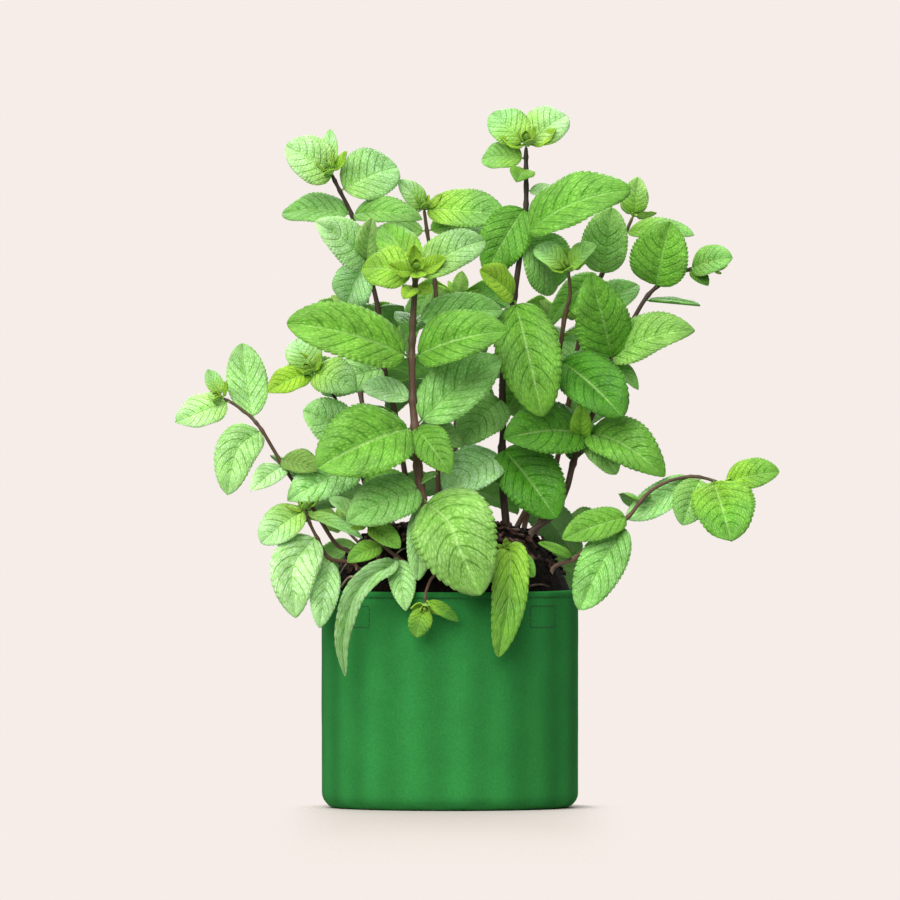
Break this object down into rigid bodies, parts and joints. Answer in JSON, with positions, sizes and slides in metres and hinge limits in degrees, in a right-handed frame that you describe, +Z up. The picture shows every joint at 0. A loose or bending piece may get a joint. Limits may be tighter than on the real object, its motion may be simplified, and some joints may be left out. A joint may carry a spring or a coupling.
{
  "type": "potted mint plant",
  "caption": "Leafy mint plant with toothed, arched leaves in pairs on upright stems, rooted in heaped soil in a round soft-sided planting bag.",
  "frame": {"origin": "middle of the bag's flat underside, on the bag's axis", "axes": "+Z up, -Y towards the side that the picture shows, +X to that viewer's right"},
  "size_m": [0.3012, 0.1951, 0.3499],
  "materials": {
    "bag_fabric": "matte woven felt",
    "potting_soil": "matte crumbly",
    "mint": "satin leaf"
  },
  "bodies": {
    "root": {"pot": "bag_fabric", "soil": "potting_soil", "stem_front": "mint", "stem_upper_left": "mint", "stem_middle_back": "mint", "stem_tall": "mint", "stem_right_inner": "mint", "stem_right_upper": "mint", "stem_right": "mint", "stem_left_low": "mint", "stem_far_left": "mint", "stem_left_hanging": "mint", "stem_far_right": "mint", "shoot_front_left": "mint", "shoot_front_hanging": "mint", "shoot_front_right": "mint", "stem_back_left": "mint", "stem_back_middle": "mint", "stem_back_right": "mint", "shoot_back_low_left": "mint", "shoot_back_low_right": "mint"}
  },
  "joints": []
}
